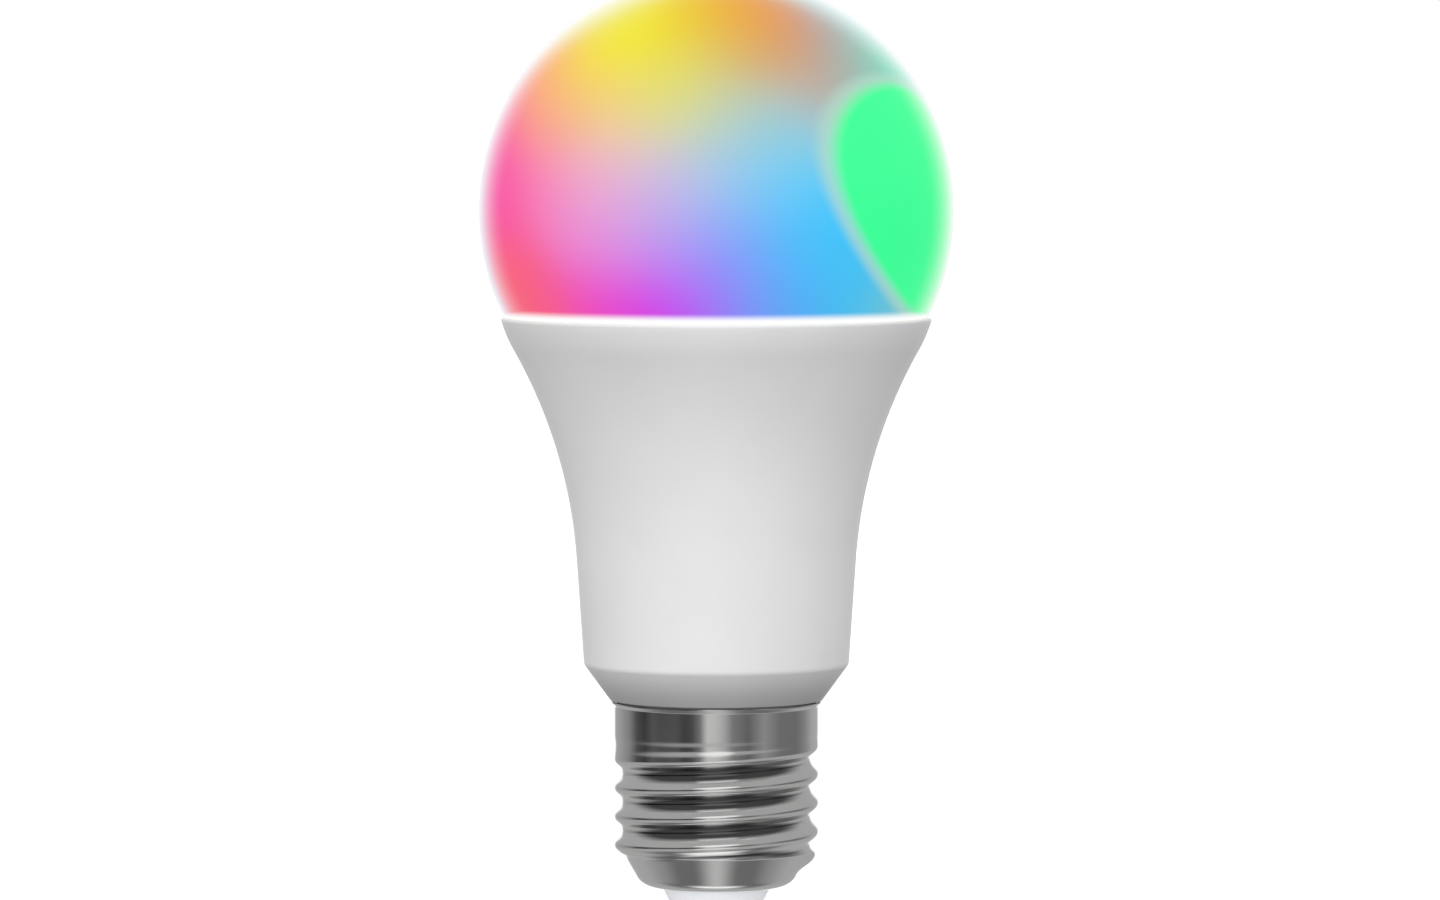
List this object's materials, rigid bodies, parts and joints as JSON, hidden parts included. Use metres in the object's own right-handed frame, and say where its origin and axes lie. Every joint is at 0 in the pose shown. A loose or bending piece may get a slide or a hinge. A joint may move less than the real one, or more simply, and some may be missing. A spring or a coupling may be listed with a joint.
{
  "type": "smart light bulb",
  "caption": "Colour-changing LED bulb with a frosted globe, a flared white housing and a standard E27 screw cap; sealed, with its driver, radio and LED boards inside.",
  "frame": {"origin": "the tip of the centre contact, on the bulb's axis", "axes": "+Z along the bulb from the screw cap to the globe, -Y towards the viewer of the front, +X to the right"},
  "size_m": [0.06, 0.06, 0.1191],
  "materials": {
    "opal_diffuser": "frosted opal, lit from inside in several colours",
    "silicone_seal": "satin translucent white",
    "housing_plastic": "fine satin moulded white",
    "plated_cap": "bright nickel plate on rolled sheet",
    "cap_ceramic": "smooth pale white",
    "contact_metal": "tinned brass, lightly worn",
    "cup_aluminium": "drawn aluminium",
    "thermal_compound": "matt paste",
    "led_board_mask": "white solder mask on an aluminium core",
    "screw_steel": "zinc-plated steel",
    "warm_phosphor": "white moulded body with amber phosphor",
    "cool_phosphor": "white moulded body with pale yellow phosphor",
    "rgb_package": "white moulded body with clear window",
    "chip_black": "black moulding compound",
    "chip_resistor": "black glaze on ceramic",
    "connector_white": "natural nylon",
    "connector_black": "black nylon",
    "tinned_metal": "tin plate",
    "wireless_mask": "dark blue solder mask on glass fibre",
    "crystal_can": "bright metal lid",
    "shield_can": "tin-plated steel",
    "antenna_copper": "gold-flashed copper",
    "driver_mask": "green solder mask on glass fibre",
    "insulating_film": "translucent polypropylene film",
    "capacitor_sleeve": "dark shrink sleeve",
    "ferrite": "dark sintered ferrite",
    "winding_tape": "yellow polyester tape",
    "enamelled_copper": "enamelled copper wire",
    "resistor_enamel": "green flameproof lacquer",
    "varistor_epoxy": "blue epoxy dip",
    "film_box": "yellow moulded box",
    "solder": "bright lead-free solder",
    "live_wire": "red silicone insulation",
    "neutral_wire": "white silicone insulation"
  },
  "bodies": {
    "root": {"bridge_rectifier": "chip_black", "controller_chip": "chip_black", "regulator_chip": "chip_black", "output_diode": "chip_black", "diffuser_globe": "opal_diffuser", "diffuser_sealant": "silicone_seal", "outer_housing": "housing_plastic", "screw_shell": "plated_cap", "cap_insulator": "cap_ceramic", "centre_contact": "contact_metal", "heat_sink_cup": "cup_aluminium", "thermal_paste": "thermal_compound", "led_board": "led_board_mask", "led_board_screws": "screw_steel", "warm_white_leds": "warm_phosphor", "cool_white_leds": "cool_phosphor", "rgb_leds": "rgb_package", "led_driver_chips": "chip_black", "led_board_resistors": "chip_resistor", "board_socket": "connector_white", "header_block": "connector_black", "header_pins": "tinned_metal", "wireless_board": "wireless_mask", "wireless_chip": "chip_black", "wireless_crystal": "crystal_can", "wireless_shield": "shield_can", "antenna_trace": "antenna_copper", "wireless_pins": "tinned_metal", "driver_board": "driver_mask", "driver_sleeve": "insulating_film", "input_capacitor": "capacitor_sleeve", "output_capacitor": "capacitor_sleeve", "standby_capacitor": "capacitor_sleeve", "transformer_core": "ferrite", "transformer_bobbin": "connector_black", "transformer_winding": "winding_tape", "inductor_core": "ferrite", "inductor_winding": "enamelled_copper", "fusible_resistor": "resistor_enamel", "varistor": "varistor_epoxy", "film_capacitor": "film_box", "driver_chip_resistors": "chip_resistor", "component_leads": "tinned_metal", "chip_legs": "tinned_metal", "solder_joints": "solder", "live_lead": "live_wire", "neutral_lead": "neutral_wire", "neutral_solder": "solder"}
  },
  "joints": []
}
